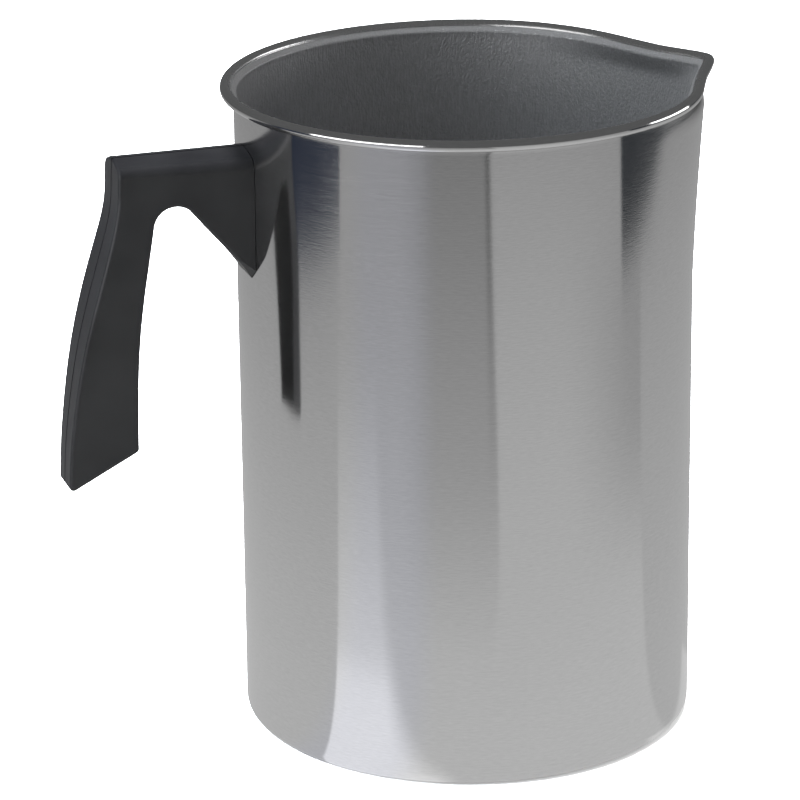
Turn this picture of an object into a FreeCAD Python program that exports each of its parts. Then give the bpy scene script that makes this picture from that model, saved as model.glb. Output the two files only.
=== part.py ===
"""Wax melting and pouring pot: a drawn aluminium body with a rolled rim and a pressed
pouring spout, and a moulded hook handle held by one screw to a bracket welded on the wall.

Frame: millimetres, +Z up. The origin is the centre of the base's underside. The spout
points along +X, the handle along -X, and the pot is the same on both sides of Y = 0.
"""
import FreeCAD
import Part

import os
from math import asin, cos, pi, radians, sin, sqrt

from FreeCAD import Vector

# --- driving dimensions: body ---
BODY_RADIUS = 70.0        # outside of the straight wall
HEIGHT = 203.5            # base to the top of the rolled rim
SHEET = 1.0               # thickness of the drawn sheet
CORNER_RADIUS = 4.0       # outside, between base and wall
BEAD_RADIUS = 1.75        # outside of the rim's curl
RIM_RADIUS = 72.3         # centre line of the curl, which stands out from the wall on a short neck
NECK_HEIGHT = 2.0         # over this height the wall bends outwards to the curl
CURL_END = -110.0         # degrees: where the curl's edge stops short of the wall
CURL_END_AT_SPOUT = -85.0 # degrees: the edge is opened a little where the spout was pressed

# --- driving dimensions: spout ---
NOSE_HALF_ANGLE = 26.0    # degrees round the rim where each straight flank meets the circle
NOSE_ROUNDING = 1.0       # degrees of rounding at the nose
FLARE_HALF_ANGLE = 52.0   # degrees round the wall that the pressing has pulled outwards
FLARE_ROUNDING = 3.0      # degrees of rounding in the trough
FLARE_REACH = 8.5         # how far the flare would stand out at the rim before rounding
FLARE_START = 141.0       # height where the flare begins
FLARE_POWER = 1.15        # how gradually it begins
FLANK_PULL = 1.2          # the pressing draws the rim inwards on each side of the nose
FLANK_DIP = 0.5           # and a little down
FLANK_FROM = 15.0         # degrees: in full from here
FLANK_TO = 18.0           # to here, and then less and less to the end of the rim band
RIM_BLEND = 8.3           # height over which the flared wall runs into the rim
SEAM_HEIGHT = 138.0       # plain cup below, rim band above; nothing shows here
BAND_HALF_ANGLE = 60.0    # degrees: sections follow the spout to here, plain wall beyond
BAND_SECTIONS = 24        # on each side of the spout, closer together towards its nose
WALL_STEPS = 22           # points up the wall in each section of the spout
WALL_CROWDING = 2.5       # how strongly those points crowd towards the rim

# --- driving dimensions: handle ---
HANDLE_FIT = 0.1          # gap between the handle's hollowed end and the wall
HANDLE_TOP = 188.75       # crown of the top edge
EDGE_ROUNDING = 1.0       # moulded edges
END_ROUNDING = 1.4        # corners of the grip's open end
BACK_TOP = (-110.4, 192.0)   # the back edge is straight from here, above the crown, to its bend
BACK_EDGE = ((-111.0, 178.5), (-113.6, 165.0), (-118.1, 150.0), (-122.4, 134.0),
             (-125.8, 116.0), (-127.8, 100.0), (-128.6, 86.6))
GRIP_EDGE = ((-106.5, 98.0), (-106.4, 112.0), (-105.7, 131.0), (-103.5, 150.0),
             (-102.1, 158.0))
ARCH_CENTRE = (-93.5, 167.4)
ARCH_RADIUS = 6.8
ARCH_FROM = 170.0         # degrees: the grip edge runs into the arch here
DIAGONAL = 40.0           # degrees: the arch runs into the diagonal edge here
ARM_EDGE = ((-77.6, 159.0), (-73.5, 154.1), (-69.9, 148.9), (-62.0, 136.8))
INSIDE_X = -62.0          # outlines run this far into the pot before they are trimmed
BEHIND_X = -130.0
CROWN_RADIUS = 18.0       # across the top edge
# half thickness against height, at the wall and behind the grip
SIDE_AT_WALL = ((6.4, 80.0), (6.7, 92.0), (7.8, 116.0), (8.9, 140.0), (9.4, 160.0), (9.9, 175.0))
SIDE_BEHIND = ((6.4, 80.0), (6.7, 92.0), (8.0, 116.0), (9.7, 140.0), (10.0, 156.0), (8.4, 175.0))
SHOULDER_AT_WALL = 4.0    # radius between side and top
SHOULDER_BEHIND = 3.0
# each lower corner by the wall is cut off through three points, given for the +Y side
CORNER_CUT = ((-76.0, 9.3, 157.1), (-69.8, 9.3, 152.3), (-69.8, 5.8, 148.8))
PARTING_WIDTH = 0.3       # ridge where the two halves of the mould met
PARTING_HEIGHT = 0.12
PARTING_ROOT = 2.0        # the ridge's strip reaches this deep, so that it joins the body
PARTING_LOW = 89.0

# --- driving dimensions: bracket and screw joint ---
PLATE = 2.0               # bracket sheet
FLANGE_WIDTH = 14.4
FLANGE_LOW = 158.0
TONGUE_LOW = 178.2        # underside of the tongue, which lies on the handle's web
TONGUE_WIDTH = 13.0
TONGUE_END = -88.0
BRACKET_CORNER = 3.0      # rounded corners of tongue and flange
COLLAR_RADIUS = 4.0       # the tapped hole's drawn-up collar
COLLAR_HEIGHT = 2.0
WELD_RADIUS = 2.6
WELD_HEIGHTS = (163.5, 171.5)
WELD_DEPTH = 0.25
SOCKET_CLEARANCE = 0.3    # moulded socket round the bracket
SOCKET_TOP = 183.4
SCREW_X = -81.0           # the vertical screw's axis
SCREW_RADIUS = 2.45       # M5, crest of the thread
THREAD_ROOT_RADIUS = 2.05
THREAD_PITCH = 0.8
THREAD_OPENING = 0.44     # half the groove's mouth, as a share of the pitch
TAPPED_RADIUS = 2.5
SCREW_HOLE_RADIUS = 2.75
SCREW_TIP = 182.8
HEAD_RADIUS = 4.75
HEAD_HEIGHT = 3.7
HEAD_EDGE = 1.4           # straight part of the pan head's side
HEAD_SHOULDER = (3.7, 0.75)   # the domed face passes this radius at this depth
CROSS_RECESS = (2.4, 0.5, 2.0)   # half length, half width and depth of its slots
WEB_LOW = 175.6           # underside of the handle's web, floor of the counterbore
COUNTERBORE_RADIUS = 5.4
FLAT_WASHER_RADIUS = 5.0
FLAT_WASHER_THICKNESS = 1.0
LOCK_WASHER_RADIUS = 4.6
LOCK_WASHER_THICKNESS = 1.2
LOCK_WASHER_SLIT = 0.9
LOCK_WASHER_SLANT = 30.0  # degrees from upright
LOCK_WASHER_TURN = 200.0  # degrees round the screw
WASHER_HOLE_RADIUS = 2.65

UP = Vector(0, 0, 1)
JOIN_TOLERANCE = 0.001
RIM_Z = HEIGHT - BEAD_RADIUS              # height of the curl's centre
CURL_INNER = BEAD_RADIUS - SHEET
NECK = RIM_RADIUS - CURL_INNER - BODY_RADIUS   # how far the wall bends outwards
FLAT_WASHER_LOW = WEB_LOW - FLAT_WASHER_THICKNESS
LOCK_WASHER_LOW = FLAT_WASHER_LOW - LOCK_WASHER_THICKNESS


def smooth(t):
    """0 to 1 with level ends."""
    t = min(1.0, max(0.0, t))
    return t * t * (3 - 2 * t)


def box(low, high):
    size = Vector(*high) - Vector(*low)
    return Part.makeBox(size.x, size.y, size.z, Vector(*low))


def cylinder(radius, low, high, x=0.0):
    return Part.makeCylinder(radius, high - low, Vector(x, 0, low))


def spline(points, parameters):
    curve = Part.BSplineCurve()
    curve.interpolate(Points=points, Parameters=parameters)
    return curve.toShape()


def led_spline(points, start, end):
    """A curve through the points that leaves along start and arrives along end."""
    curve = Part.BSplineCurve()
    curve.interpolate(Points=points, InitialTangent=start, FinalTangent=end)
    return curve.toShape()


def upright(pairs):
    """Points in the plane Y = 0."""
    return [Vector(x, 0, z) for x, z in pairs]


# --- body ---

def rim_radius(angle):
    """The curl's centre line: a circle with two flanks that meet in a rounded nose."""
    beyond = NOSE_HALF_ANGLE - sqrt(angle ** 2 + NOSE_ROUNDING ** 2)
    return RIM_RADIUS / cos(radians(max(0.0, beyond))) - FLANK_PULL * flank(angle)


def flank(angle):
    """How much of the pressing's side effect there is: none at the nose and at the band's ends."""
    turn = abs(angle)
    fading = smooth((turn - FLANK_TO) / (BAND_HALF_ANGLE - FLANK_TO))
    return smooth(turn / FLANK_FROM) * (1 - fading)


def flare(angle, z):
    """How far the pressing pulled the wall outwards."""
    share = 1 - sqrt(angle ** 2 + FLARE_ROUNDING ** 2) / FLARE_HALF_ANGLE
    rise = (z - FLARE_START) / (HEIGHT - FLARE_START)
    if share <= 0 or rise <= 0:
        return 0.0
    return FLARE_REACH * share ** 2 * rise ** FLARE_POWER


def wall_radius(angle, z):
    """Outside of the wall, which runs into the curl at the rim."""
    blend = smooth((z - RIM_Z) / RIM_BLEND + 1)
    at_rim = rim_radius(angle) - RIM_RADIUS
    neck = NECK * smooth((z - RIM_Z) / NECK_HEIGHT + 1)
    return BODY_RADIUS + (1 - blend) * flare(angle, z) + blend * at_rim + neck


def slant(radius_at, angle, z):
    """How much longer the sheet is, measured level and radially, than square to its face."""
    turn = radians(1.0)
    across = (radius_at(angle + 0.5, z) - radius_at(angle - 0.5, z)) / turn / radius_at(angle, z)
    rise = radius_at(angle, z + 0.5) - radius_at(angle, z - 0.5)
    return sqrt(1 + across ** 2 + rise ** 2)


def section(angle):
    """The sheet's outline in the upright plane at this angle round the pot."""
    direction = Vector(cos(radians(angle)), sin(radians(angle)), 0)

    def at(radius, z):
        dip = FLANK_DIP * flank(angle) * smooth((z - SEAM_HEIGHT) / (RIM_Z - SEAM_HEIGHT))
        return direction * radius + UP * (z - dip)

    centre = rim_radius(angle)
    slope = slant(lambda a, z: rim_radius(a), angle, RIM_Z)
    below = [(1 - i / WALL_STEPS) ** WALL_CROWDING for i in range(WALL_STEPS + 1)]
    heights = [RIM_Z - (RIM_Z - SEAM_HEIGHT) * share for share in below]
    outside = []
    inside = []
    for z in heights[:-1]:
        radius = wall_radius(angle, z)
        outside.append(at(radius, z))
        inside.append(at(radius - SHEET * slant(wall_radius, angle, z), z))
    outside.append(at(centre - CURL_INNER * slope, RIM_Z))
    inside.append(at(centre - BEAD_RADIUS * slope, RIM_Z))
    squeeze = smooth((flare(angle, RIM_Z) - centre + RIM_RADIUS) / 2.0)
    end = radians(CURL_END + (CURL_END_AT_SPOUT - CURL_END) * squeeze)

    def curl(radius, turn):
        return at(centre + radius * slope * cos(turn), RIM_Z + radius * sin(turn))

    def curl_edge(radius):
        turns = [pi + (end - pi) * i / 12 for i in range(13)]
        return spline([curl(radius, t) for t in turns], [i / 12 for i in range(13)])

    edges = [
        Part.makeLine(inside[0], outside[0]),
        spline(outside, heights),
        curl_edge(CURL_INNER),
        Part.makeLine(curl(CURL_INNER, end), curl(BEAD_RADIUS, end)),
        curl_edge(BEAD_RADIUS),
        spline(inside, heights),
    ]
    return Part.Wire(Part.__sortEdges__(edges))


def rim_band():
    """The wall above the seam height, with the curl and the spout."""
    one_side = [BAND_HALF_ANGLE * (i / BAND_SECTIONS) ** 1.5 for i in range(BAND_SECTIONS + 1)]
    angles = [-a for a in one_side[:0:-1]] + one_side
    spout = Part.makeLoft([section(a) for a in angles], True, False)
    plain = Part.Face(section(BAND_HALF_ANGLE))
    plain = plain.revolve(Vector(), UP, 360 - 2 * BAND_HALF_ANGLE)
    return spout, plain


def cup():
    """The plain drawn cup below the spout."""
    inner_corner = CORNER_RADIUS - SHEET
    bend = BODY_RADIUS - CORNER_RADIUS
    step = sqrt(0.5)
    outer_mid = Vector(bend + CORNER_RADIUS * step, 0, CORNER_RADIUS * (1 - step))
    inner_mid = Vector(bend + inner_corner * step, 0, CORNER_RADIUS - inner_corner * step)
    outer_top = Vector(BODY_RADIUS, 0, CORNER_RADIUS)
    inner_top = Vector(BODY_RADIUS - SHEET, 0, CORNER_RADIUS)
    seam_out = Vector(BODY_RADIUS, 0, SEAM_HEIGHT)
    seam_in = Vector(BODY_RADIUS - SHEET, 0, SEAM_HEIGHT)
    edges = [
        Part.makeLine(Vector(), Vector(bend, 0, 0)),
        Part.Arc(Vector(bend, 0, 0), outer_mid, outer_top).toShape(),
        Part.makeLine(outer_top, seam_out),
        Part.makeLine(seam_out, seam_in),
        Part.makeLine(seam_in, inner_top),
        Part.Arc(inner_top, inner_mid, Vector(bend, 0, SHEET)).toShape(),
        Part.makeLine(Vector(bend, 0, SHEET), Vector(0, 0, SHEET)),
        Part.makeLine(Vector(0, 0, SHEET), Vector()),
    ]
    return Part.Face(Part.Wire(edges)).revolve(Vector(), UP, 360)


def pot_body():
    spout, plain = rim_band()
    return one_solid(plain.fuse([spout, cup()], JOIN_TOLERANCE).removeSplitter())


# --- handle ---

def handle_outline():
    """The side view: a short top arm, an arch for the fingers and an open-ended grip."""
    back_top, centre = upright([BACK_TOP, ARCH_CENTRE])
    back, grip, arm = upright(BACK_EDGE), upright(GRIP_EDGE), upright(ARM_EDGE)

    def on_arch(turn):
        return centre + Vector(cos(radians(turn)), 0, sin(radians(turn))) * ARCH_RADIUS

    arch_start = on_arch(ARCH_FROM)
    arch_end = on_arch(DIAGONAL)
    upward = Vector(sin(radians(ARCH_FROM)), 0, -cos(radians(ARCH_FROM)))
    downward = Vector(sin(radians(DIAGONAL)), 0, -cos(radians(DIAGONAL)))
    top_corner = Vector(INSIDE_X, 0, back_top.z)
    return Part.Wire([
        Part.makeLine(back_top, back[0]),
        back_spline(),
        Part.makeLine(back[-1], grip[0]),
        led_spline(grip + [arch_start], UP, upward),
        Part.Arc(arch_start, on_arch((ARCH_FROM + DIAGONAL) / 2), arch_end).toShape(),
        led_spline([arch_end] + arm, downward, (arm[-1] - arm[-2]).normalize()),
        Part.makeLine(arm[-1], top_corner),
        Part.makeLine(top_corner, back_top),
    ])


def back_spline():
    """The curved part of the back edge, which leaves the straight part in line with it."""
    top, *back = upright((BACK_TOP,) + BACK_EDGE)
    return led_spline(back, (back[0] - top).normalize(), (back[-1] - back[-2]).normalize())


def handle_end_view(x, side, shoulder):
    """The end view at one place along the handle: bowed sides and a crowned top."""
    def at(y, z):
        return Vector(x, y, z)

    half = side[-1][0]
    share = (half - shoulder) / (CROWN_RADIUS - shoulder)
    lean = asin(share)
    meet_y = CROWN_RADIUS * share
    meet_z = HANDLE_TOP - CROWN_RADIUS * (1 - cos(lean))
    start_z = meet_z - shoulder * cos(lean)
    turn = (pi / 2 - lean) / 2
    middle_y = half - shoulder * (1 - cos(turn))
    middle_z = start_z + shoulder * sin(turn)
    sides = []
    for sign in (1, -1):
        points = [at(sign * y, z) for y, z in side] + [at(sign * half, start_z)]
        sides.append(led_spline(points, UP, UP))
    arcs = [Part.Arc(at(s * half, start_z), at(s * middle_y, middle_z), at(s * meet_y, meet_z)).toShape()
            for s in (1, -1)]
    crown = Part.Arc(at(meet_y, meet_z), at(0, HANDLE_TOP), at(-meet_y, meet_z)).toShape()
    low_y, low_z = side[0]
    bottom = Part.makeLine(at(-low_y, low_z), at(low_y, low_z))
    return Part.Wire([sides[0], arcs[0], crown, arcs[1], sides[1], bottom])


def handle_blank():
    """The two views intersected."""
    width = 3 * SIDE_AT_WALL[-1][0]
    side_view = Part.Face(handle_outline()).extrude(Vector(0, width, 0))
    side_view.translate(Vector(0, -width / 2, 0))
    end_view = Part.makeLoft([
        handle_end_view(INSIDE_X, SIDE_AT_WALL, SHOULDER_AT_WALL),
        handle_end_view(BEHIND_X, SIDE_BEHIND, SHOULDER_BEHIND),
    ], True, True)
    return one_solid(side_view.common(end_view))


def middle_of(edge):
    return edge.valueAt((edge.FirstParameter + edge.LastParameter) / 2)


def rounded_handle():
    """Rounds the grip's two bottom corners, then the edges all along the side view."""
    blank = handle_blank()
    low_corners = [e for e in blank.Edges if e.BoundBox.ZMax < 110 and e.BoundBox.XLength < 0.1]
    blank = one_solid(blank.makeFillet(END_ROUNDING, low_corners))
    along = []
    for edge in blank.Edges:
        crosses = edge.BoundBox.YLength > 11 or edge.BoundBox.YMin * edge.BoundBox.YMax < 0
        at_pot = edge.BoundBox.XMin > INSIDE_X - 0.1
        on_arm = middle_of(edge).z > 180 and edge.BoundBox.XLength > 20
        if not crosses and not at_pot and not on_arm:
            along.append(edge)
    return one_solid(blank.makeFillet(EDGE_ROUNDING, along))


def parting_ridge():
    """The mould's parting line: a fine ridge down the middle of the back and along the top."""
    half = PARTING_WIDTH / 2
    strips = []
    for edge in (back_spline(), Part.makeLine(*upright((BACK_TOP, BACK_EDGE[0])))):
        edge.translate(Vector(-PARTING_HEIGHT, -half, 0))
        strips.append(edge.extrude(Vector(PARTING_ROOT, 0, 0)).extrude(Vector(0, PARTING_WIDTH, 0)))
    crest = HANDLE_TOP + PARTING_HEIGHT
    strips.append(box((BACK_TOP[0], -half, crest - PARTING_ROOT), (INSIDE_X, half, crest)))
    ridge = strips[0].fuse(strips[1:])
    return ridge.common(box((BEHIND_X, -half, PARTING_LOW), (INSIDE_X, half, crest)))


def corner_cutter(side):
    """A block whose face takes a growing corner off the handle's lower edge, by the wall."""
    start, on_side, on_keel = [Vector(x, side * y, z) for x, y, z in CORNER_CUT]
    normal = (on_side - start).cross(on_keel - start).normalize()
    if normal.z > 0:
        normal = normal.negative()
    block = Part.makeBox(30, 30, 10, Vector(-15, -15, 0))
    block.Placement = FreeCAD.Placement(on_side, FreeCAD.Rotation(UP, normal)).multiply(block.Placement)
    return block


def handle():
    shape = rounded_handle().fuse(parting_ridge())
    shape = shape.cut(cylinder(BODY_RADIUS + HANDLE_FIT, 100, 220))
    half_slot = TONGUE_WIDTH / 2 + SOCKET_CLEARANCE
    slot = box((TONGUE_END - SOCKET_CLEARANCE, -half_slot, TONGUE_LOW),
               (INSIDE_X, half_slot, SOCKET_TOP))
    half_recess = FLANGE_WIDTH / 2 + SOCKET_CLEARANCE
    recess = box((-90, -half_recess, FLANGE_LOW - SOCKET_CLEARANCE), (INSIDE_X, half_recess, SOCKET_TOP))
    recess = recess.common(cylinder(BODY_RADIUS + PLATE + SOCKET_CLEARANCE, 100, 220))
    counterbore = cylinder(COUNTERBORE_RADIUS, 120, WEB_LOW, SCREW_X)
    screw_hole = cylinder(SCREW_HOLE_RADIUS, WEB_LOW - 1, TONGUE_LOW + 1, SCREW_X)
    shape = shape.cut([slot, recess, counterbore, screw_hole])
    return one_solid(shape.cut([corner_cutter(1), corner_cutter(-1)]))


# --- bracket and fasteners ---

def handle_bracket():
    """A flange curved to the wall, and a tongue bent out of it with a tapped collar."""
    tongue_top = TONGUE_LOW + PLATE
    wall = cylinder(BODY_RADIUS, 100, 220)
    half = FLANGE_WIDTH / 2
    flange = box((-90, -half, FLANGE_LOW), (0, half, tongue_top))
    flange = flange.common(cylinder(BODY_RADIUS + PLATE, 100, 220))
    tongue = box((TONGUE_END, -TONGUE_WIDTH / 2, TONGUE_LOW), (0, TONGUE_WIDTH / 2, tongue_top))
    end_edges = [e for e in tongue.Edges if e.BoundBox.XMax < TONGUE_END + 0.1 and e.BoundBox.ZLength > 1]
    tongue = tongue.makeFillet(BRACKET_CORNER, end_edges)
    plate = flange.fuse(tongue).cut(wall)
    plate = one_solid(plate.removeSplitter())
    feet = []
    for edge in plate.Edges:
        room = edge.BoundBox
        if room.ZMax < FLANGE_LOW + 0.01 and room.YLength < 0.5 and room.XLength > 1:
            feet.append(edge)
    plate = plate.makeFillet(BRACKET_CORNER, feet)
    collar = cylinder(COLLAR_RADIUS, tongue_top - 0.5, tongue_top + COLLAR_HEIGHT, SCREW_X)
    hole = cylinder(TAPPED_RADIUS, 170, 190, SCREW_X)
    plate = plate.fuse(collar).cut(hole)
    for z in WELD_HEIGHTS:
        mark_floor = Vector(-(BODY_RADIUS + PLATE - WELD_DEPTH), 0, z)
        plate = plate.cut(Part.makeCylinder(WELD_RADIUS, 2 * PLATE, mark_floor, Vector(-1, 0, 0)))
    return one_solid(plate.removeSplitter())


def screw_thread(root, crest, low, high):
    """The cutter that leaves a helical ridge: a triangle swept along a helix."""
    path = Part.makeHelix(THREAD_PITCH, high - low, crest)
    depth = crest - root
    half = THREAD_PITCH * THREAD_OPENING
    corners = [Vector(crest + 0.1, 0, -half), Vector(root, 0, 0), Vector(crest + 0.1, 0, half)]
    triangle = Part.makePolygon(corners + corners[:1])
    sweep = Part.BRepOffsetAPI.MakePipeShell(path)
    sweep.setFrenetMode(True)
    sweep.add(triangle)
    sweep.build()
    sweep.makeSolid()
    cutter = sweep.shape()
    cutter.translate(Vector(0, 0, low))
    return cutter


def handle_screw():
    """M5 pan head screw, head down, with a cross recess."""
    top = LOCK_WASHER_LOW
    bottom = top - HEAD_HEIGHT
    rim = top - HEAD_EDGE
    profile = Part.Wire([
        Part.makeLine(Vector(0, 0, bottom), Vector(0, 0, top)),
        Part.makeLine(Vector(0, 0, top), Vector(HEAD_RADIUS, 0, top)),
        Part.makeLine(Vector(HEAD_RADIUS, 0, top), Vector(HEAD_RADIUS, 0, rim)),
        Part.Arc(Vector(HEAD_RADIUS, 0, rim), Vector(HEAD_SHOULDER[0], 0, bottom + HEAD_SHOULDER[1]),
                 Vector(0, 0, bottom)).toShape(),
    ])
    head = Part.Face(profile).revolve(Vector(), UP, 360)
    shank = cylinder(SCREW_RADIUS, top - 0.5, SCREW_TIP)
    ends = [e for e in shank.Edges if e.BoundBox.ZMin > SCREW_TIP - 0.01]
    shank = shank.makeChamfer(SCREW_RADIUS - THREAD_ROOT_RADIUS, ends)
    shank = shank.cut(screw_thread(THREAD_ROOT_RADIUS, SCREW_RADIUS, top + THREAD_PITCH, SCREW_TIP + 1.0))
    screw = head.fuse(shank)
    slot_long, slot_wide, slot_deep = CROSS_RECESS
    for turn in (45, 135):
        slot = box((-slot_long, -slot_wide, bottom - 1), (slot_long, slot_wide, bottom + slot_deep))
        slot.rotate(Vector(), UP, turn)
        screw = screw.cut(slot)
    screw.translate(Vector(SCREW_X, 0, 0))
    return one_solid(screw)


def flat_washer():
    disc = cylinder(FLAT_WASHER_RADIUS, FLAT_WASHER_LOW, WEB_LOW, SCREW_X)
    return one_solid(disc.cut(cylinder(WASHER_HOLE_RADIUS, 170, 180, SCREW_X)))


def lock_washer():
    """A split spring washer, squeezed flat."""
    ring = cylinder(LOCK_WASHER_RADIUS, LOCK_WASHER_LOW, FLAT_WASHER_LOW, SCREW_X)
    ring = ring.cut(cylinder(WASHER_HOLE_RADIUS, 170, 180, SCREW_X))
    slit = box((0, -LOCK_WASHER_SLIT / 2, -5), (8, LOCK_WASHER_SLIT / 2, 5))
    slit.rotate(Vector(), Vector(1, 0, 0), LOCK_WASHER_SLANT)
    slit.translate(Vector(SCREW_X, 0, (LOCK_WASHER_LOW + FLAT_WASHER_LOW) / 2))
    slit.rotate(Vector(SCREW_X, 0, 0), UP, LOCK_WASHER_TURN)
    return one_solid(ring.cut(slit))


def one_solid(shape):
    """The single solid in a shape, or a stop if a cut left none or several."""
    if len(shape.Solids) != 1:
        raise ValueError("expected one solid, found %d" % len(shape.Solids))
    solid = shape.Solids[0]
    if not solid.isValid():
        raise ValueError("the solid is not valid")
    return solid


NODES = {
    "pot_body": pot_body,
    "handle": handle,
    "handle_bracket": handle_bracket,
    "handle_screw": handle_screw,
    "flat_washer": flat_washer,
    "lock_washer": lock_washer,
}


def main():
    os.makedirs("parts", exist_ok=True)
    for name, build in NODES.items():
        shape = build()
        shape.exportStep("parts/" + name + ".step")
        print(name, round(shape.Volume, 1), "mm3", shape.BoundBox)


main()
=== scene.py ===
"""Looks of a wax melting pot: polished drawn aluminium body, satin inside, black moulded handle."""

from math import cos, pi, radians, sin, sqrt

import bpy
from mathutils import Matrix, Vector

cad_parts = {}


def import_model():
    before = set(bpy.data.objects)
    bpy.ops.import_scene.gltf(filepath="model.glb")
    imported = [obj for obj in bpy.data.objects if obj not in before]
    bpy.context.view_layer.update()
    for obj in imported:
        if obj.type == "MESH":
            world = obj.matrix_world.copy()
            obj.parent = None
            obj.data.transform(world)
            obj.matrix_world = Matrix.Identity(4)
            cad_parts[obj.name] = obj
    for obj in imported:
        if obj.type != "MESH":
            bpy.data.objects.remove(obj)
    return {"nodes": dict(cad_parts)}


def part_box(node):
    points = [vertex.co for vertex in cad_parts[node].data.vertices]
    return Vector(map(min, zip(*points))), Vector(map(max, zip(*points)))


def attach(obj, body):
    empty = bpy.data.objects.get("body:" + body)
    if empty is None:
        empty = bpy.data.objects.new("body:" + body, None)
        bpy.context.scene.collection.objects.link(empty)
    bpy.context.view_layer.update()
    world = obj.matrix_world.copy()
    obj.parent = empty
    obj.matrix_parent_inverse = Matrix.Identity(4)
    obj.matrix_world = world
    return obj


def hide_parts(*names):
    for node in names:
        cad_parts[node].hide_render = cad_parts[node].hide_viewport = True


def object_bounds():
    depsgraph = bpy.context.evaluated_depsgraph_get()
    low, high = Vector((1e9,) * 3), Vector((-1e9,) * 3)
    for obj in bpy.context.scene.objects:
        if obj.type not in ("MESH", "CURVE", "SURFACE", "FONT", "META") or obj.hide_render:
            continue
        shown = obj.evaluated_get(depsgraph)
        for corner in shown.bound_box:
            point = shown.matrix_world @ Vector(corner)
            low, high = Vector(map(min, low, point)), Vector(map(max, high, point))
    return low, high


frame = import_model()
cad_low, cad_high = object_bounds()

MM = 0.001

# --- the body's shape, as in the CAD model; the outer sizes come from the frame ---
body_low, body_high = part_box("pot_body")
HEIGHT = body_high.z
SHEET = 1.0 * MM
BEAD_RADIUS = 1.75 * MM
CORNER_RADIUS = 4.0 * MM
RIM_RADIUS = body_high.y - BEAD_RADIUS
INSET = 0.01 * MM         # keeps the outer surface just inside the CAD solid
RIM_Z = HEIGHT - BEAD_RADIUS - INSET
CURL_INNER = BEAD_RADIUS - SHEET
NECK = 1.55 * MM          # how far the wall bends outwards to the curl
NECK_HEIGHT = 2.0 * MM
BODY_RADIUS = RIM_RADIUS - CURL_INNER - NECK
GROOVE_Z = RIM_Z - BEAD_RADIUS
CURL_END = -110.0         # degrees round the curl, at the sheet's edge
CURL_END_AT_SPOUT = -85.0
CURL_OPENING = 2.0 * MM   # the curl is that far open where the trough reaches this far past the rim
NOSE_HALF_ANGLE = 26.0    # degrees round the pot from the spout's middle, as are the other half angles
NOSE_ROUNDING = 1.0
FLARE_HALF_ANGLE = 52.0   # the trough in the wall below the spout
FLARE_ROUNDING = 3.0
FLARE_REACH = 8.5 * MM
FLARE_START = 141.0 * MM
FLARE_POWER = 1.15
RIM_BLEND = 8.3 * MM      # over this height the wall takes on the rim's outline
FLANK_PULL = 1.2 * MM     # the pressing drew the rim in, and down, on each side of the nose
FLANK_DIP = 0.5 * MM
FLANK_FROM = 15.0         # the pull is full from this angle
FLANK_TO = 18.0           # to this one
BAND_HALF_ANGLE = 60.0    # and gone here
SEAM_HEIGHT = 138.0 * MM  # the dip starts at this height
CROWN_FROM = 84.0         # degrees round the curl: the polish stops here and the duller crown begins
WAVE_DEPTH = 0.02 * MM
WAVE_FADE = 0.03          # the waves fade out over this height at the foot and at the rim
WAVES = ((1.0, 3, 1.1, 19), (0.6, 7, -2.0, -31), (0.35, 13, 0.0, 47))   # share, turns, start, twist

# --- mesh density ---
AROUND = 400
NOSE_DENSITY = 35.0       # degrees of crowding of the columns towards the spout
BASE_RINGS = (6, 14, 24, 36, 48, 58)   # radii in mm across the flat base
FLOOR_EDGE = 66           # and of the floor's outermost ring, inside
CORNER_ROWS = 9
LOW_WALL_ROWS = 26
FLARE_ROWS = 40
NECK_ROWS = 14
CURL_INNER_ROWS = 12
CURL_OUTER_ROWS = 16
CROWN_ROWS = 16
INNER_CORNER_ROWS = 7

# --- the body's finishes, in the order of its material slots ---
OUTSIDE = 0
RIM_CROWN = 1
INSIDE = 2

# --- colours: the darker and the lighter end of each material ---
POLISHED = ((0.74, 0.74, 0.74), (0.82, 0.82, 0.82))
CROWN = ((0.76, 0.76, 0.76), (0.86, 0.86, 0.86))
SATIN = ((0.43, 0.43, 0.435), (0.53, 0.53, 0.54))
PHENOLIC = ((0.0032, 0.0032, 0.0037), (0.0056, 0.0056, 0.0062))
MILL_FINISH = ((0.60, 0.60, 0.61), (0.72, 0.72, 0.73))
ZINC = ((0.52, 0.53, 0.55), (0.66, 0.67, 0.68))
# painted shade for the groove under the rim's curl
GROOVE_PAINTED_SHADE = (0.30, 0.30, 0.29)

# --- studio, in metres from the pot's axis ---
FLOOR_HALF = 12.0
TABLE_HALF = 6.0
FULL_LIGHT_TO = 0.10      # the table's light falls from here
LIGHT_FALLS_TO = 0.80     # to here, and then more slowly
LIGHT_ENDS_AT = 2.20
LIGHT_NEAR = 0.56
LIGHT_FAR = 0.345
LIGHT_LEFT_OVER = 0.30
LEFT_END = (-0.565, -0.590)
RIGHT_END = 0.605
BLACK = (0.0, 0.0, 0.0)
WHITE = (1.0, 1.0, 1.0)
DAYLIGHT = (0.98, 0.99, 1.05)
PAST_LEFT_END = (0.026, 0.032, 0.050)
PAST_RIGHT_END = (0.036, 0.039, 0.044)
TOP_LIGHT_HALF = 0.3
TOP_LIGHT_HEIGHT = 1.5
TOP_LIGHT_STRENGTH = 90.0
SKY_STRENGTH = 1.7
ROOM_STRENGTH = 0.11
ROOM_COLOUR = (0.98, 0.99, 1.0, 1)

# --- camera ---
CAMERA_AZIMUTH = -19.0
CAMERA_DISTANCE = 1.2128  # level distance from the pot's axis
CAMERA_HEIGHT = 0.5209
CAMERA_ROLL = -0.62
CAMERA_LENS = 185.67
SENSOR_WIDTH = 36.0
AIM_OFFSET = Vector((0.0021, 0.0, 0.0006))


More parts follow.
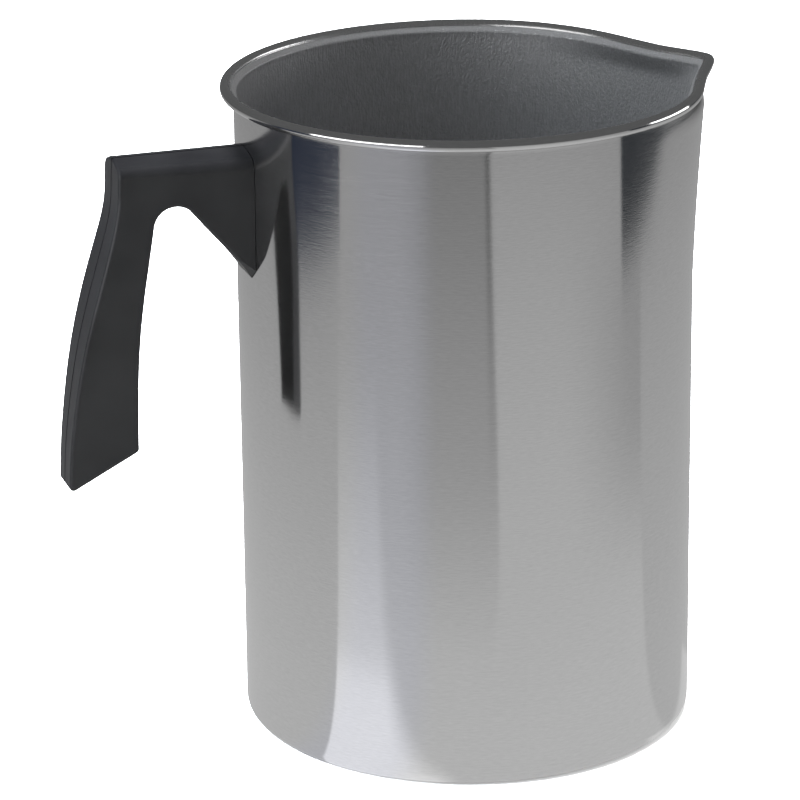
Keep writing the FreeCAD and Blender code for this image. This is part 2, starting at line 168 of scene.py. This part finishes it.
def smooth(t):
    """0 up to 0, 1 from 1, and an even curve between."""
    t = min(1.0, max(0.0, t))
    return t * t * (3 - 2 * t)


# --- body ---

def rim_radius(angle):
    """The curl's centre line: a circle, with two straight flanks that meet in the rounded nose."""
    beyond = NOSE_HALF_ANGLE - sqrt(angle ** 2 + NOSE_ROUNDING ** 2)
    return RIM_RADIUS / cos(radians(max(0.0, beyond))) - FLANK_PULL * flank(angle) - INSET


def flank(angle):
    """The share, from 0 to 1, of the pull on the rim beside the nose."""
    turn = abs(angle)
    fading = smooth((turn - FLANK_TO) / (BAND_HALF_ANGLE - FLANK_TO))
    return smooth(turn / FLANK_FROM) * (1 - fading)


def dip(angle, z):
    """How far the pressing of the spout drew the rim down on each side of the nose."""
    return FLANK_DIP * flank(angle) * smooth((z - SEAM_HEIGHT) / (RIM_Z - SEAM_HEIGHT))


def flare(angle, z):
    """How far the trough below the spout stands out from the round wall."""
    share = 1 - sqrt(angle ** 2 + FLARE_ROUNDING ** 2) / FLARE_HALF_ANGLE
    rise = (z - FLARE_START) / (HEIGHT - FLARE_START)
    if share <= 0 or rise <= 0:
        return 0.0
    return FLARE_REACH * share ** 2 * rise ** FLARE_POWER


def waviness(angle, z):
    """The drawn wall's slight unevenness, which bends its reflections a little."""
    a = radians(angle)
    fade = smooth(z / WAVE_FADE) * smooth((HEIGHT - z) / WAVE_FADE)
    wave = sum(share * sin(turns * a + start + twist * z) for share, turns, start, twist in WAVES)
    return WAVE_DEPTH * fade * wave


def wall_radius(angle, z):
    """The wall's outer surface, with the trough, the rim's outline at the top and the neck."""
    blend = smooth((z - RIM_Z) / RIM_BLEND + 1)
    at_rim = rim_radius(angle) - RIM_RADIUS
    bulge = (1 - blend) * flare(angle, z) + blend * at_rim
    neck = NECK * smooth((z - RIM_Z) / NECK_HEIGHT + 1)
    return BODY_RADIUS + bulge + neck + waviness(angle, z)


def slant(radius_at, angle, z):
    """How much thicker a slanting sheet is along the radius: 1 where it is upright and round."""
    across = (radius_at(angle + 0.5, z) - radius_at(angle - 0.5, z)) / radians(1.0) / radius_at(angle, z)
    rise = (radius_at(angle, z + 0.5 * MM) - radius_at(angle, z - 0.5 * MM)) / MM
    return sqrt(1 + across ** 2 + rise ** 2)


def spread(low, high, count):
    """Even steps from low towards high, which is left out."""
    return [low + (high - low) * i / count for i in range(count)]


def section(angle):
    """Points (radius, height) from the underside's centre round the sheet to the floor inside.

    Also the numbers of the points where the curl's crown and the dull inside begin.
    """
    bend = BODY_RADIUS - CORNER_RADIUS
    inner_corner = CORNER_RADIUS - SHEET
    points = [(r * MM, 0.0) for r in BASE_RINGS]
    for turn in spread(-90, 0, CORNER_ROWS):
        a = radians(turn)
        points.append((bend + CORNER_RADIUS * cos(a), CORNER_RADIUS * (1 + sin(a))))
    flare_from = FLARE_START - 4 * MM
    neck_from = RIM_Z - NECK_HEIGHT
    heights = spread(CORNER_RADIUS, flare_from, LOW_WALL_ROWS)
    heights += spread(flare_from, neck_from, FLARE_ROWS)
    heights += spread(neck_from, RIM_Z, NECK_ROWS)
    points += [(wall_radius(angle, z), z) for z in heights]
    centre = rim_radius(angle)
    slope = slant(lambda a, z: rim_radius(a), angle, RIM_Z)
    squeeze = smooth((flare(angle, RIM_Z) - centre + RIM_RADIUS) / CURL_OPENING)
    end = CURL_END + (CURL_END_AT_SPOUT - CURL_END) * squeeze

    def curl(radius, turn):
        a = radians(turn)
        return (centre + radius * slope * cos(a), RIM_Z + radius * sin(a))

    points += [curl(CURL_INNER, t) for t in spread(180, end, CURL_INNER_ROWS)]
    points += [curl(CURL_INNER, end), curl(BEAD_RADIUS, end)]
    points += [curl(BEAD_RADIUS, t) for t in spread(end, CROWN_FROM, CURL_OUTER_ROWS)[1:]]
    crown_from = len(points)
    points += [curl(BEAD_RADIUS, t) for t in spread(CROWN_FROM, 180, CROWN_ROWS)]
    satin_from = len(points)
    points.append(curl(BEAD_RADIUS, 180))
    for z in reversed(heights[1:]):
        points.append((wall_radius(angle, z) - SHEET * slant(wall_radius, angle, z), z))
    for turn in spread(0, -90, INNER_CORNER_ROWS):
        a = radians(turn)
        points.append((bend + inner_corner * cos(a), CORNER_RADIUS + inner_corner * sin(a)))
    points += [(r * MM, SHEET) for r in (FLOOR_EDGE, *reversed(BASE_RINGS))]
    return [(radius, z - dip(angle, z)) for radius, z in points], crown_from, satin_from


def column_angles():
    """Angles round the pot, crowded towards the spout at 0."""
    angles = []
    for i in range(AROUND):
        t = i / AROUND - 0.5
        angles.append(360 * t - NOSE_DENSITY * sin(2 * pi * t))
    return angles


def body_mesh():
    """The sheet's whole surface, each face with its finish."""
    vertices = []
    faces = []
    finishes = []
    for angle in column_angles():
        points, crown_from, satin_from = section(angle)
        rows = len(points)
        a = radians(angle)
        vertices += [(r * cos(a), r * sin(a), z) for r, z in points]
    under = len(vertices)
    vertices += [(0, 0, 0), (0, 0, SHEET)]
    for i in range(AROUND):
        here = i * rows
        there = (i + 1) % AROUND * rows
        faces.append((under, there, here))
        finishes.append(OUTSIDE)
        for j in range(rows - 1):
            faces.append((here + j, there + j, there + j + 1, here + j + 1))
            finishes.append(INSIDE if j >= satin_from else RIM_CROWN if j >= crown_from else OUTSIDE)
        faces.append((under + 1, here + rows - 1, there + rows - 1))
        finishes.append(INSIDE)
    mesh = bpy.data.meshes.new("pot")
    mesh.from_pydata(vertices, [], faces)
    mesh.polygons.foreach_set("material_index", finishes)
    mesh.polygons.foreach_set("use_smooth", [True] * len(faces))
    mesh.update()
    return mesh


# --- materials ---

class Nodes:
    """Short calls to add nodes to a tree and join them. Numbers and sockets mix freely."""

    def __init__(self, tree):
        self.tree = tree

    def add(self, kind, **settings):
        node = self.tree.nodes.new(kind)
        for name, value in settings.items():
            setattr(node, name, value)
        return node

    def join(self, value, socket):
        if isinstance(value, (int, float, tuple)):
            socket.default_value = value
        else:
            self.tree.links.new(value, socket)

    def math(self, operation, *values):
        node = self.add("ShaderNodeMath", operation=operation)
        for socket, value in zip(node.inputs, values):
            self.join(value, socket)
        return node.outputs[0]

    def plus(self, a, b):
        return self.math("ADD", a, b)

    def minus(self, a, b):
        return self.math("SUBTRACT", a, b)

    def times(self, a, b):
        return self.math("MULTIPLY", a, b)

    def span(self, value, low, high, to_low=0.0, to_high=1.0, kind="LINEAR"):
        """Maps low..high onto to_low..to_high, and holds the ends."""
        node = self.add("ShaderNodeMapRange", interpolation_type=kind)
        limits = {"From Min": low, "From Max": high, "To Min": to_low, "To Max": to_high}
        for name, number in limits.items():
            node.inputs[name].default_value = number
        self.join(value, node.inputs["Value"])
        return node.outputs[0]

    def step(self, value, low, high):
        """0 before low and 1 past high. With low above high it runs the other way."""
        return self.span(value, low, high, kind="SMOOTHSTEP")

    def tint(self, share, dark, light):
        """The colour between two, at a share from 0 to 1."""
        mix = self.add("ShaderNodeMix", data_type="RGBA")
        colours = [s for s in mix.inputs if s.type == "RGBA"]
        for socket, colour in zip(colours, (dark, light)):
            self.join((*colour, 1.0) if isinstance(colour, tuple) else colour, socket)
        self.join(share, mix.inputs["Factor"])
        return next(s for s in mix.outputs if s.type == "RGBA")


class Finish(Nodes):
    """A material with a Principled shader, its noise placed in metres on the piece."""

    def __init__(self, name):
        self.material = bpy.data.materials.new(name)
        self.material.use_nodes = True
        super().__init__(self.material.node_tree)
        self.shader = next(n for n in self.tree.nodes if n.type == "BSDF_PRINCIPLED")
        self.place = self.add("ShaderNodeTexCoord").outputs["Object"]

    def set(self, **values):
        for name, value in values.items():
            self.join(value, self.shader.inputs[name.replace("_", " ")])

    def noise(self, grain, detail=3.0, roughness=0.5):
        """Noise whose grains have the given sizes along X, Y and Z, in metres."""
        mapping = self.add("ShaderNodeMapping")
        mapping.inputs["Scale"].default_value = [1 / size for size in grain]
        self.join(self.place, mapping.inputs["Vector"])
        noise = self.add("ShaderNodeTexNoise")
        noise.inputs["Scale"].default_value = 1.0
        noise.inputs["Detail"].default_value = detail
        noise.inputs["Roughness"].default_value = roughness
        self.join(mapping.outputs["Vector"], noise.inputs["Vector"])
        return noise.outputs["Fac"]

    def bump(self, height, distance, below=None):
        node = self.add("ShaderNodeBump")
        node.inputs["Distance"].default_value = distance
        self.join(height, node.inputs["Height"])
        if below is not None:
            self.join(below, node.inputs["Normal"])
        return node.outputs["Normal"]


def polished_aluminium():
    """Bright outside: fine marks run round the wall, so reflections smear a little upwards."""
    n = Finish("polished_aluminium")
    lines = n.noise((0.016, 0.016, 0.00032), roughness=0.6)
    flecks = n.noise((0.0024, 0.0024, 0.00034), detail=2.0)
    clouds = n.noise((0.045, 0.045, 0.07))
    tone = n.plus(n.times(flecks, 0.55), n.plus(n.times(lines, 0.25), n.times(clouds, 0.2)))
    metal = n.tint(n.span(tone, 0.32, 0.68), *POLISHED)
    # painted shade: a dark band in the groove under the rim's curl, standing in for the shade there
    height = n.add("ShaderNodeSeparateXYZ")
    n.join(n.place, height.inputs[0])
    z = height.outputs[2]
    lower_edge = n.step(z, GROOVE_Z - 0.7 * MM, GROOVE_Z - 0.3 * MM)
    upper_edge = n.step(z, GROOVE_Z + 0.6 * MM, GROOVE_Z)
    n.set(Base_Color=n.tint(n.times(lower_edge, upper_edge), metal, GROOVE_PAINTED_SHADE))
    marks = n.plus(n.times(lines, 0.6), n.times(clouds, 0.4))
    n.set(Roughness=n.span(marks, 0.35, 0.65, 0.085, 0.13))
    n.set(Normal=n.bump(flecks, 7e-6, n.bump(lines, 4e-6)))
    tangent = n.add("ShaderNodeTangent", direction_type="RADIAL", axis="Z")
    n.set(Tangent=tangent.outputs["Tangent"], Metallic=1.0, Anisotropic=0.7, Anisotropic_Rotation=0.25)
    return n.material


def dull_aluminium(name, colours, roughness, metallic, relief):
    """Less polished metal with short upright grain. The relief is the grain's depth in metres."""
    n = Finish(name)
    grain = n.noise((0.00055, 0.00055, 0.0034), detail=2.0)
    speckle = n.noise((0.0006, 0.0006, 0.0009), detail=1.0)
    clouds = n.noise((0.03, 0.03, 0.03))
    shade = n.plus(n.times(grain, 0.6), n.plus(n.times(speckle, 0.25), n.times(clouds, 0.15)))
    n.set(Base_Color=n.tint(n.span(shade, 0.34, 0.66), *colours))
    n.set(Roughness=n.span(clouds, 0.3, 0.7, roughness - 0.03, roughness + 0.04), Metallic=metallic)
    n.set(Normal=n.bump(speckle, relief, n.bump(grain, relief)))
    return n.material


def black_phenolic():
    """Moulded satin black, very slightly uneven."""
    n = Finish("black_phenolic")
    pores = n.noise((0.0006, 0.0006, 0.0006), detail=2.0)
    flow = n.noise((0.017, 0.017, 0.017))
    n.set(Base_Color=n.tint(n.span(flow, 0.3, 0.7), *PHENOLIC))
    n.set(Roughness=n.span(flow, 0.3, 0.7, 0.36, 0.46), IOR=1.5)
    n.set(Normal=n.bump(pores, 5e-6))
    return n.material


def plain_metal(name, colours, rough):
    """Small hidden metal pieces: rolled or plated, with fine grain."""
    n = Finish(name)
    grain = n.noise((0.0033, 0.0004, 0.0033))
    n.set(Base_Color=n.tint(n.span(grain, 0.3, 0.7), *colours))
    n.set(Roughness=n.span(grain, 0.3, 0.7, rough - 0.06, rough + 0.06), Metallic=1.0)
    n.set(Normal=n.bump(grain, 3e-6))
    return n.material


def finish_node(name, material):
    """Gives a CAD piece its material. Its shape and place stay as they are."""
    piece = frame["nodes"][name]
    piece.data.materials.clear()
    piece.data.materials.append(material)


# --- surroundings: floor, sky, a studio that only reflections see, and lights that they don't ---

class Studio(Nodes):
    """A node tree that ends in plain emission."""

    def __init__(self, name):
        self.material = bpy.data.materials.new(name)
        self.material.use_nodes = True
        super().__init__(self.material.node_tree)
        self.tree.nodes.clear()
        self.glow = self.add("ShaderNodeEmission")
        output = self.add("ShaderNodeOutputMaterial")
        self.join(self.glow.outputs[0], output.inputs["Surface"])


def sheet(name, corners, material):
    """A flat stage piece with four corners, turned so that the camera is on its -Y side."""
    mesh = bpy.data.meshes.new(name)
    mesh.from_pydata(corners, [], [(0, 1, 2, 3)])
    mesh.materials.append(material)
    piece = bpy.data.objects.new(name, mesh)
    piece.rotation_euler.z = radians(CAMERA_AZIMUTH)
    bpy.context.scene.collection.objects.link(piece)
    return piece


def only_reflected(piece):
    """Leaves a stage piece visible to reflections alone."""
    piece.visible_camera = False
    piece.visible_diffuse = False
    piece.visible_transmission = False
    piece.visible_volume_scatter = False
    piece.visible_shadow = False


def square(half, z):
    """Corners of a level square round the pot's axis."""
    return [(-half, -half, z), (half, -half, z), (half, half, z), (-half, half, z)]


def floor():
    """White paper, clear from below so that the underside can be looked at."""
    material = bpy.data.materials.new("white_paper")
    material.use_nodes = True
    n = Nodes(material.node_tree)
    shader = n.tree.nodes["Principled BSDF"]
    shader.inputs["Base Color"].default_value = (0.9, 0.9, 0.9, 1)
    shader.inputs["Roughness"].default_value = 0.9
    clear = n.add("ShaderNodeBsdfTransparent")
    mix = n.add("ShaderNodeMixShader")
    n.join(n.add("ShaderNodeNewGeometry").outputs["Backfacing"], mix.inputs[0])
    n.join(shader.outputs[0], mix.inputs[1])
    n.join(clear.outputs[0], mix.inputs[2])
    n.join(mix.outputs[0], n.tree.nodes["Material Output"].inputs["Surface"])
    paper = sheet("floor", square(FLOOR_HALF, 0.0), material)
    paper.visible_glossy = False


def table():
    """The table that the wall reflects: lit most near the pot, with its two ends and the camera's shade.

    X runs to the camera's right and Y away from it. Bearings are degrees to the right of its side.
    """
    n = Studio("lit_table")
    split = n.add("ShaderNodeSeparateXYZ")
    n.join(n.add("ShaderNodeTexCoord").outputs["Object"], split.inputs[0])
    x, y = split.outputs[0], split.outputs[1]
    nearer = n.times(y, -1.0)
    r = n.math("SQRT", n.plus(n.times(x, x), n.times(y, y)))
    bearing = n.times(n.math("ARCTAN2", x, nearer), 180 / pi)

    def past(value, edge, blur):
        """1 where the value is past the edge, 0 before it."""
        return n.step(n.minus(value, edge), -blur, blur)

    def before(value, edge, blur):
        """1 where the value is before the edge, 0 past it."""
        return n.step(n.minus(value, edge), blur, -blur)

    def dimmed(light, where, depth):
        return n.times(light, n.minus(1.0, n.times(where, depth)))

    def lifted(light, where, share):
        return n.times(light, n.plus(1.0, n.times(where, share)))

    light = n.span(r, FULL_LIGHT_TO, LIGHT_FALLS_TO, LIGHT_NEAR, LIGHT_FAR)
    light = n.times(light, n.span(r, LIGHT_FALLS_TO, LIGHT_ENDS_AT, 1.0, LIGHT_LEFT_OVER))
    left_side = n.step(bearing, -18, -36)
    light = dimmed(light, left_side, n.span(r, 0.12, 0.45, 0.06, 0.17))

    # the camera's side is shaded, up to an edge that curves out from the pot
    reach = n.math("MAXIMUM", n.minus(nearer, 0.15), 0.0)
    shade_edge = n.times(n.math("SQRT", reach), 0.20)
    shaded = n.times(n.step(bearing, -36, -12), before(x, shade_edge, 0.004))
    depth = n.plus(n.span(r, 0.17, 0.34, 0.0, 0.24), n.span(r, 0.34, 0.70, 0.0, 0.12))
    light = dimmed(light, shaded, depth)
    line = n.times(past(x, n.minus(shade_edge, 0.026), 0.008), before(x, shade_edge, 0.004))
    light = dimmed(light, line, n.span(nearer, 0.32, 0.80, 0.0, 0.62))

    # on the right the light falls off, up to a line that runs straight out
    right_line = n.minus(n.times(x, 0.115), 0.036)
    fading = n.times(n.step(bearing, 40, 94), before(y, right_line, 0.003))
    depth = n.times(n.span(r, 0.20, 0.36, 0.0, 0.26), n.span(r, 0.50, 0.66, 1.0, 0.35))
    light = dimmed(light, fading, depth)
    behind_line = n.times(past(y, right_line, 0.003), n.step(x, 0.0, 0.05))
    light = dimmed(light, behind_line, 0.13)

    # a bright pool to the left of the pot, crisp on one side and soft on the other
    pool_edge = n.minus(n.times(x, 0.45), 0.032)
    on_left = before(y, pool_edge, 0.001)
    soft_side = n.step(n.minus(y, n.times(x, 0.88)), -0.078, -0.050)
    fall = n.plus(n.span(r, 0.14, 0.17, 0.27, 0.0), n.span(r, 0.15, 0.45, 0.30, 0.0))
    pool = n.times(n.times(on_left, soft_side), n.times(n.step(x, 0.0, -0.01), fall))
    light = lifted(light, pool, 1.0)
    half_lit = n.times(n.step(bearing, -18, -34), on_left)
    light = lifted(light, half_lit, n.span(r, 0.10, 0.50, 0.10, 0.04))

    # and a sliver of light that hugs the pot on the right
    sliver_edge = n.plus(n.times(y, 0.487), 0.081)
    sliver = n.times(before(x, sliver_edge, 0.002), n.step(bearing, 54, 60))
    light = lifted(light, n.times(sliver, n.step(y, 0.042, 0.030)), 0.26)

    # past the table's two ends it is dark
    left_end = n.times(n.step(x, *LEFT_END), n.step(n.minus(y, n.times(x, 0.56)), 0.0, 0.012))
    left_end = n.times(left_end, n.step(y, 0.22, 0.10))
    past_right = n.minus(n.minus(x, RIGHT_END), n.times(y, 0.37))
    near_right = n.step(n.plus(y, n.times(x, 0.185)), 0.0, 0.012)
    right_end = n.times(n.step(past_right, -0.012, 0.012), near_right)

    # daylight from the left is a little cooler
    daylight = n.times(n.step(bearing, -10, -24), n.step(bearing, -60, -44))
    glow = n.tint(light, BLACK, n.tint(daylight, WHITE, DAYLIGHT))
    glow = n.tint(left_end, glow, PAST_LEFT_END)
    glow = n.tint(right_end, glow, PAST_RIGHT_END)
    n.join(glow, n.glow.inputs["Color"])
    only_reflected(sheet("table", square(TABLE_HALF, -MM), n.material))


def panel(name, bearing, distance, width, low, high, strength, colour=WHITE):
    """An upright lit panel that faces the pot, between two heights, at a bearing as on the table."""
    n = Studio(name)
    n.join((*colour, 1.0), n.glow.inputs["Color"])
    n.join(strength, n.glow.inputs["Strength"])
    b = radians(bearing)
    across = Vector((cos(b), sin(b), 0)) * width / 2
    middle = Vector((sin(b), -cos(b), 0)) * distance
    corners = [middle - across + Vector((0, 0, low)), middle + across + Vector((0, 0, low)),
               middle + across + Vector((0, 0, high)), middle - across + Vector((0, 0, high))]
    return sheet(name, corners, n.material)


def softboxes():
    """The two bright panels that only reflections see."""
    left = panel("left_softbox", bearing=-45, distance=1.0, width=1.02, low=0.06, high=0.42, strength=2.4)
    right = panel("right_softbox", bearing=110, distance=1.0, width=0.64, low=0.12, high=0.38, strength=3.0)
    only_reflected(left)
    only_reflected(right)


def inside_lights():
    """Panels high on the left and above. They light what scatters light, and show in no reflection."""
    left = panel("left_light", bearing=-72, distance=1.0, width=0.8, low=0.7, high=1.5, strength=60.0,
                 colour=(0.85, 0.93, 1.0))
    n = Studio("top_light")
    n.join(TOP_LIGHT_STRENGTH, n.glow.inputs["Strength"])
    top = sheet("top_light", square(TOP_LIGHT_HALF, TOP_LIGHT_HEIGHT), n.material)
    for light in (left, top):
        light.visible_camera = False
        light.visible_glossy = False


def world():
    """White for the floor's light, and a dim room for the reflections."""
    sky = bpy.data.worlds.new("studio")
    bpy.context.scene.world = sky
    sky.use_nodes = True
    n = Nodes(sky.node_tree)
    white = n.tree.nodes["Background"]
    white.inputs["Color"].default_value = (1, 1, 1, 1)
    white.inputs["Strength"].default_value = SKY_STRENGTH
    room = n.add("ShaderNodeBackground")
    room.inputs["Color"].default_value = ROOM_COLOUR
    room.inputs["Strength"].default_value = ROOM_STRENGTH
    mix = n.add("ShaderNodeMixShader")
    n.join(n.add("ShaderNodeLightPath").outputs["Is Glossy Ray"], mix.inputs[0])
    n.join(white.outputs[0], mix.inputs[1])
    n.join(room.outputs[0], mix.inputs[2])
    n.join(mix.outputs[0], n.tree.nodes["World Output"].inputs["Surface"])


def camera():
    """The photo's point of view, aimed just beside the middle of the CAD box."""
    data = bpy.data.cameras.new("camera")
    data.lens = CAMERA_LENS
    data.sensor_width = SENSOR_WIDTH
    data.clip_start = 0.05
    data.clip_end = 60.0
    lens = bpy.data.objects.new("camera", data)
    bpy.context.scene.collection.objects.link(lens)
    a = radians(CAMERA_AZIMUTH)
    lens.location = (CAMERA_DISTANCE * sin(a), -CAMERA_DISTANCE * cos(a), CAMERA_HEIGHT)
    aim = (cad_low + cad_high) / 2 + AIM_OFFSET
    lens.rotation_mode = "QUATERNION"
    look = (aim - lens.location).to_track_quat("-Z", "Y")
    lens.rotation_quaternion = look @ Matrix.Rotation(radians(CAMERA_ROLL), 3, "Z").to_quaternion()
    bpy.context.scene.camera = lens


def main():
    """The body with its finishes, the materials of the CAD pieces, and the surroundings."""
    body = bpy.data.objects.new("body", body_mesh())
    bpy.context.scene.collection.objects.link(body)
    crown = dull_aluminium("rim_crown", CROWN, roughness=0.25, metallic=1.0, relief=1e-5)
    satin = dull_aluminium("satin_aluminium", SATIN, roughness=0.51, metallic=0.96, relief=1.7e-4)
    for material in (polished_aluminium(), crown, satin):
        body.data.materials.append(material)
    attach(body, "root")
    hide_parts("pot_body")

    finish_node("handle", black_phenolic())
    finish_node("handle_bracket", plain_metal("mill_aluminium", MILL_FINISH, rough=0.38))
    zinc = plain_metal("zinc_plate", ZINC, rough=0.28)
    for name in ("handle_screw", "flat_washer", "lock_washer"):
        finish_node(name, zinc)

    floor()
    table()
    softboxes()
    inside_lights()
    world()
    camera()


main()
bpy.context.scene.view_settings.view_transform = "Standard"
